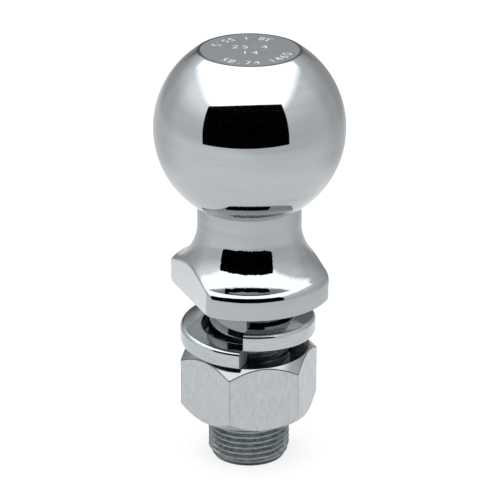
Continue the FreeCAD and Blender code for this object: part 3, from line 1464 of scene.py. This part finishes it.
@dataclass
class Studio:
    """Pale floor, overhead softbox, pale walls and the dark opening that the camera looks through.

    Its sizes are in metres.
    """

    centre: Point = (0.0, 0.0, 0.0533)
    floor_z: float = -0.05552
    floor_radii: tuple[float, ...] = (0.05, 0.2, 0.8, 2.4)
    sheet_colour: str = "E6E6E6"
    veil_colour: str = "777777"
    clear_tint: str = "E2E2E2"
    mirrored_tint: str = "D3D3D3"
    backdrop_light: float = 0.7
    softbox_height: float = 0.75
    softbox_strength: float = 2.3
    # How far back, left and right each row of the softbox lies, as shares of its height over the ball
    softbox_rows: tuple[Point, ...] = (
        (-1.1, -1.50, 1.32),
        (-0.4, -1.44, 1.27),
        (-0.1, -1.37, 1.23),
        (0.25, -1.31, 1.16),
        (1.25, -1.31, 1.16),
    )
    softbox_columns: int = 8
    # Where its light begins and is full: from the left, from the right and from the slanting back edge
    softbox_edges: tuple[Spot, ...] = ((0.0, 0.145), (1.0, 0.855), (1.2, 0.95))
    softbox_slant: float = 0.3
    wall_r: float = 1.6
    wall_foot: float = -3.7
    wall_top: float = 89.0
    wall_columns: int = 96
    wall_rows: int = 24
    sweep_radii: tuple[float, ...] = (0.13, 0.2, 0.32, 0.5, 0.8, 1.25)
    sweep_gap: float = 0.0002
    under_light: float = 1.03
    opening_r: float = 0.95
    opening_foot: OpeningEdge = OpeningEdge(left=-55.2, width=101.5, elevation=-6.3, climb=2.0, bulge=0.8)
    opening_head: OpeningEdge = OpeningEdge(left=-60.8, width=110.4, elevation=33.1, climb=6.5, bulge=36.6)
    opening_columns: int = 32
    opening_rows: int = 16

    def hide_from_camera(self, card: bpy.types.Object, lights_object: bool) -> None:
        """Makes a card part of the setting that the camera looks past.

        Args:
            card: the card.
            lights_object: whether it also lights what isn't shiny.
        """
        card.visible_camera = False
        card.visible_shadow = False
        card.visible_diffuse = lights_object

    def floor(self) -> bpy.types.Object:
        """Makes the floor: a frosted sheet over the white backdrop, on which the object's soft shadow falls.

        The nut can be run off the end of the thread, below the floor, and then still shows through the sheet.
        The sheet is a little darker in reflections, as the walls' sweep beyond it is.

        Returns:
            The floor's object.
        """
        columns = self.wall_columns
        points: list[Point] = [(0.0, 0.0, self.floor_z)]
        for radius in self.floor_radii:
            points += ring(radius, self.floor_z, columns)
        faces: Faces = [(0, 1 + i, 1 + (i + 1) % columns) for i in range(columns)]
        faces += [tuple(1 + corner for corner in face) for face in grid_faces(len(self.floor_radii), columns)]
        floor = in_scene("floor", new_mesh("floor", points, faces))
        material = new_material("frosted_white_sheet")
        tree = material.node_tree
        matt = add_node(tree, "ShaderNodeBsdfDiffuse", {"Color": linear(self.sheet_colour)})
        faint = add_node(tree, "ShaderNodeBsdfDiffuse", {"Color": linear(self.veil_colour)})
        glossy = add_node(tree, "ShaderNodeLightPath").outputs["Is Glossy Ray"]
        tones = {0: glossy, 6: linear(self.clear_tint), 7: linear(self.mirrored_tint)}
        tint = add_node(tree, "ShaderNodeMix", tones, data_type="RGBA")
        clear = add_node(tree, "ShaderNodeBsdfTransparent", {"Color": tint})
        shown = add_node(tree, "ShaderNodeAddShader", {0: faint, 1: clear})
        mix = add_node(tree, "ShaderNodeMixShader", {0: seen_rays(tree), 1: matt, 2: shown})
        add_node(tree, "ShaderNodeOutputMaterial", {"Surface": mix})
        floor.data.materials.append(material)
        return floor

    def softbox(self) -> bpy.types.Object:
        """Makes the large overhead softbox, whose light falls off towards its edges.

        Returns:
            The softbox's object.
        """
        tall, columns = self.softbox_height, self.softbox_columns
        points, places = [], []
        for back, left, right in self.softbox_rows:
            for column in range(columns + 1):
                share = column / columns
                points.append(((left + (right - left) * share) * tall, back * tall, self.centre[2] + tall))
                places.append((share, back))
        mesh = new_mesh("softbox", points, sheet_faces(len(self.softbox_rows) - 1, columns))
        layer = mesh.uv_layers.new(name="across")
        for loop in mesh.loops:
            layer.data[loop.index].uv = places[loop.vertex_index]
        card = in_scene("softbox", mesh)
        material = new_material("softbox_cloth")
        tree = material.node_tree
        where = add_node(tree, "ShaderNodeTexCoord").outputs["UV"]
        split = add_node(tree, "ShaderNodeSeparateXYZ", {0: where}).outputs
        slanting = {0: split["X"], 1: self.softbox_slant, 2: split["Y"]}
        back = add_node(tree, "ShaderNodeMath", slanting, operation="MULTIPLY_ADD")
        share: bpy.types.Node | float = 1.0
        for value, (start, full) in zip((split["X"], split["X"], back), self.softbox_edges):
            reach = {"Value": value, "From Min": start, "From Max": full}
            edge = add_node(tree, "ShaderNodeMapRange", reach, interpolation_type="SMOOTHSTEP")
            share = add_node(tree, "ShaderNodeMath", {0: share, 1: edge}, operation="MULTIPLY")
        glow = add_node(tree, "ShaderNodeEmission", {"Strength": self.softbox_strength})
        clear = add_node(tree, "ShaderNodeBsdfTransparent")
        mix = add_node(tree, "ShaderNodeMixShader", {0: share, 1: clear, 2: glow})
        add_node(tree, "ShaderNodeOutputMaterial", {"Surface": mix})
        mesh.materials.append(material)
        self.hide_from_camera(card, True)
        return card

    def sky_point(self, azimuth: float, elevation: float, radius: float) -> Point:
        """Point in a direction seen from the ball's centre.

        Args:
            azimuth: compass angle in degrees.
            elevation: angle above level, in degrees.
            radius: distance from the ball's centre.

        Returns:
            The point.
        """
        a, e = math.radians(azimuth), math.radians(elevation)
        return (
            self.centre[0] + radius * math.sin(a) * math.cos(e),
            self.centre[1] - radius * math.cos(a) * math.cos(e),
            self.centre[2] + radius * math.sin(e),
        )

    def opening(self) -> bpy.types.Object:
        """Makes the dark opening in front, which the chrome mirrors as a black rectangle.

        Returns:
            The opening's object.
        """
        points = []
        for row in range(self.opening_rows + 1):
            up = row / self.opening_rows
            for column in range(self.opening_columns + 1):
                across = column / self.opening_columns
                low, high = self.opening_foot.at(across), self.opening_head.at(across)
                azimuth, elevation = (a + (b - a) * up for a, b in zip(low, high))
                points.append(self.sky_point(azimuth, elevation, self.opening_r))
        mesh = new_mesh("dark_opening", points, sheet_faces(self.opening_rows, self.opening_columns))
        card = in_scene("dark_opening", mesh)
        material = new_material("black_velvet")
        tree = material.node_tree
        shader = add_node(tree, "ShaderNodeEmission", {"Color": linear("000000"), "Strength": 0.0})
        add_node(tree, "ShaderNodeOutputMaterial", {"Surface": shader})
        mesh.materials.append(material)
        self.hide_from_camera(card, False)
        return card

    def wall_light(self, tree: bpy.types.NodeTree) -> bpy.types.Node:
        """Adds the walls' light for each direction from the ball's centre.

        Args:
            tree: the walls' node tree.

        Returns:
            The node that gives the strength.
        """
        where = add_node(tree, "ShaderNodeTexCoord").outputs["Object"]
        offset = add_node(tree, "ShaderNodeVectorMath", {0: where, 1: self.centre}, operation="SUBTRACT")
        flat = add_node(tree, "ShaderNodeVectorMath", {0: offset, 1: (1, 1, 0)}, operation="MULTIPLY")
        values: dict[str, object] = {}
        for prefix, way in (("", offset), ("level ", flat)):
            towards = add_node(tree, "ShaderNodeVectorMath", {0: way}, operation="NORMALIZE")
            split = add_node(tree, "ShaderNodeSeparateXYZ", {0: towards}).outputs
            values |= {prefix + axis: split[axis] for axis in "XYZ"}
        # Each row is a soft step: its name, what it reads, where it starts and ends, and its values there.
        for name, read, start, end, first, last in (
            ("side", "X", -0.7, 0.7, 0.82, 0.765),
            ("glare across", "X", -0.5, 0.5, 0.65, 0.28),
            ("glare up", "Z", 0.15, 0.65, 0.0, 1.0),
            ("behind", "Y", 0.1, 0.5, 1.0, 0.8),
            ("far behind", "Y", 0.55, 0.85, 1.0, 0.75),
            ("gap sides", "level Y", 0.86, 0.96, 0.0, 1.0),
            ("gap foot", "Z", 0.0, 0.25, 0.3, 1.0),
            ("gap head", "Z", 0.40, 0.52, 1.0, 0.0),
            ("gap depth", "level X", -0.3, 0.3, 0.78, 0.62),
            ("sweep foot", "X", -0.4, 0.4, -0.20, -0.34),
            ("sweep head", "X", -0.4, 0.4, -0.03, -0.12),
            ("on wall", "Z", "sweep foot", "sweep head", 0.0, 1.0),
            ("sweep back", "Y", -0.2, 0.6, 0.98, 0.73),
            ("sweep across", "X", -0.6, 0.6, 1.03, 0.94),
            ("on sweep", "Z", -0.71, -0.42, 0.0, 1.0),
        ):
            ends = {"From Min": values.get(start, start), "From Max": values.get(end, end)}
            step = {"Value": values[read], **ends, "To Min": first, "To Max": last}
            values[name] = add_node(tree, "ShaderNodeMapRange", step, interpolation_type="SMOOTHSTEP")
        # Each row is a sum: its name, its operation and its two terms.
        for name, operation, a, b in (
            ("glare", "MULTIPLY", "glare across", "glare up"),
            ("wall", "ADD", "side", "glare"),
            ("behind", "MULTIPLY", "behind", "far behind"),
            ("gap", "MULTIPLY", "gap sides", "gap foot"),
            ("gap", "MULTIPLY", "gap", "gap head"),
            ("gap", "MULTIPLY", "gap", "gap depth"),
            ("beside gap", "SUBTRACT", 1.0, "gap"),
            ("behind", "MULTIPLY", "behind", "beside gap"),
            ("wall", "MULTIPLY", "wall", "behind"),
            ("wall", "MULTIPLY", "wall", "on wall"),
            ("sweep", "MULTIPLY", "sweep back", "sweep across"),
            ("sweep", "MULTIPLY", "sweep", "on sweep"),
            ("under ball", "SUBTRACT", 1.0, "on sweep"),
            ("under ball", "MULTIPLY", "under ball", self.under_light),
            ("ground", "ADD", "sweep", "under ball"),
            ("below wall", "SUBTRACT", 1.0, "on wall"),
            ("ground", "MULTIPLY", "ground", "below wall"),
            ("light", "ADD", "wall", "ground"),
        ):
            terms = {0: values.get(a, a), 1: values.get(b, b)}
            values[name] = add_node(tree, "ShaderNodeMath", terms, operation=operation)
        return values["light"]

    def walls(self) -> bpy.types.Object:
        """Makes the walls, pale at the sides, brighter towards the softbox, darker behind, and their sweep.

        Returns:
            The walls' object.
        """
        wide = self.wall_columns
        points = []
        for radius in self.sweep_radii:
            points += ring(radius, self.floor_z + self.sweep_gap, wide)
        for row in range(self.wall_rows):
            elevation = self.wall_foot + (self.wall_top - self.wall_foot) * row / (self.wall_rows - 1)
            points += [self.sky_point(360 * i / wide, elevation, self.wall_r) for i in range(wide)]
        rows = self.wall_rows + len(self.sweep_radii)
        faces = grid_faces(rows, wide)
        last = (rows - 1) * wide
        faces += [(last + i, last + (i + 1) % wide, len(points)) for i in range(wide)]
        points.append(self.sky_point(0, 90, self.wall_r))
        card = in_scene("studio_walls", new_mesh("studio_walls", points, faces))
        material = new_material("pale_wall_paint")
        tree = material.node_tree
        glow = add_node(tree, "ShaderNodeEmission", {"Strength": self.wall_light(tree)})
        add_node(tree, "ShaderNodeOutputMaterial", {"Surface": glow})
        card.data.materials.append(material)
        self.hide_from_camera(card, True)
        return card

    def backdrop(self) -> None:
        """Sets the white backdrop beyond the floor, which lights the object less than it shows."""
        world = bpy.data.worlds.new("white_backdrop")
        world.use_nodes = True
        tree = world.node_tree
        tree.nodes.clear()
        levels = {"Value": seen_rays(tree), "To Min": self.backdrop_light, "To Max": 1.0}
        strength = add_node(tree, "ShaderNodeMapRange", levels)
        shader = add_node(tree, "ShaderNodeBackground", {"Color": linear("FFFFFF"), "Strength": strength})
        add_node(tree, "ShaderNodeOutputWorld", {"Surface": shader})
        bpy.context.scene.world = world

    def build(self) -> None:
        """Builds the whole setting."""
        for card in (self.floor(), self.softbox(), self.opening(), self.walls()):
            LOG.info("setting: %s", card.name)
        self.backdrop()


@dataclass
class Viewpoint:
    """The photograph's camera, in front of the ball and above it: place in metres, angles in radians."""

    at: Point = (0.00020816, -0.9, 0.38635)
    down: float = 0.39326
    roll: float = 0.00273
    focal_px: float = 3162.72
    picture_px: float = 500.0
    sensor_mm: float = 36.0
    nearest: float = 0.05
    farthest: float = 20.0

    def build(self) -> None:
        """Makes the camera and gives it to the scene."""
        data = bpy.data.cameras.new("viewpoint")
        data.sensor_width = self.sensor_mm
        data.lens = self.focal_px * self.sensor_mm / self.picture_px
        data.clip_start = self.nearest
        data.clip_end = self.farthest
        camera = in_scene("viewpoint", data)
        ahead = Vector((0, math.cos(self.down), -math.sin(self.down)))
        up = Vector((0, math.sin(self.down), math.cos(self.down)))
        right = Vector((1, 0, 0))
        x = right * math.cos(self.roll) + up * math.sin(self.roll)
        y = up * math.cos(self.roll) - right * math.sin(self.roll)
        turn = Matrix((x, y, -ahead)).transposed().to_4x4()
        camera.matrix_world = Matrix.Translation(self.at) @ turn
        bpy.context.scene.camera = camera


def main() -> None:
    """Builds the pieces, then the setting and the camera."""
    logging.basicConfig(level=logging.INFO, format="%(message)s")
    for part in (TowBall(), LockWasher(), HexNut()):
        for piece in part.build():
            LOG.info("%s: %d triangles", piece.name, triangles(piece))
    Studio().build()
    Viewpoint().build()
    bpy.context.scene.view_settings.view_transform = "Standard"
    bpy.context.view_layer.update()


if __name__ == "__main__":
    main()
